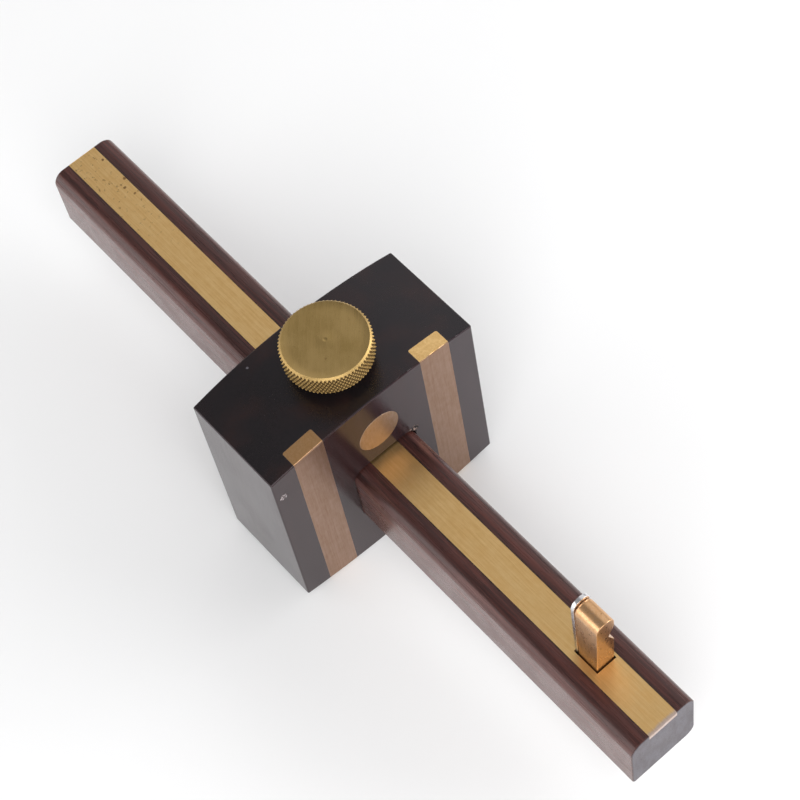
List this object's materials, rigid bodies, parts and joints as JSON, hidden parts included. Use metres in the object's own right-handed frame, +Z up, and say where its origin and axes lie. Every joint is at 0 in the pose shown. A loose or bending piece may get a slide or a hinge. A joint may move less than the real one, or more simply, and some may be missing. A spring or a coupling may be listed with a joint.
{
  "type": "marking gauge",
  "caption": "Wooden marking gauge with a brass-striped sliding beam, a crowned head with wear strips, a knurled thumb screw and a wedged knife.",
  "frame": {"origin": "where the beam's centre line crosses the fence, the head's front face, so distances along +X are the distances the gauge is read in", "axes": "+X out of the fence along the beam to the knife, +Y across the beam to the notched side of the wedge, +Z up towards the thumb knob"},
  "size_m": [0.24, 0.0668, 0.0787],
  "materials": {
    "ebony": "near-black close-grained hardwood, waxed to a soft sheen",
    "rosewood": "dark red-brown straight-grained hardwood, oiled and polished",
    "brass_brushed": "brushed lengthwise, satin",
    "brass_turned": "turned, satin",
    "brass_polished": "polished, slightly warm",
    "tool_steel": "ground bright steel"
  },
  "bodies": {
    "head": {"head_block": "ebony", "wear_strip_left": "brass_brushed", "wear_strip_right": "brass_brushed", "barrel_nut": "brass_turned"},
    "shoe": {"pressure_shoe": "brass_turned"},
    "thumb_screw": {"thumb_knob": "brass_turned", "thumb_screw_shank": "brass_turned"},
    "stem": {"beam": "rosewood", "beam_strip": "brass_brushed"},
    "knife_blade": {"knife": "tool_steel"},
    "knife_wedge": {"wedge": "brass_polished"}
  },
  "joints": [
    {"name": "beam_slide", "type": "slide", "parent": "head", "child": "stem", "axis": [1, 0, 0], "range_m": [-0.0751, 0.104]},
    {"name": "screw_lift", "type": "slide", "parent": "head", "child": "shoe", "axis": [0, 0, 1], "range_m": [0, 0.00275]},
    {"name": "screw_turn", "type": "hinge", "parent": "shoe", "child": "thumb_screw", "pos_m": [-0.016, 0, 0.0137], "axis": [0, 0, 1], "range_deg": [0, 990.1]},
    {"name": "knife_depth", "type": "slide", "parent": "stem", "child": "knife_blade", "axis": [0, 0, 1], "range_m": [-0.003, 0.0035]},
    {"name": "wedge_lift", "type": "slide", "parent": "stem", "child": "knife_wedge", "axis": [0, 0, 1], "range_m": [0, 0.018]}
  ],
  "couplings": [
    {"joint": "screw_turn", "follows": "screw_lift", "rad_per_m": 6283.2}
  ]
}
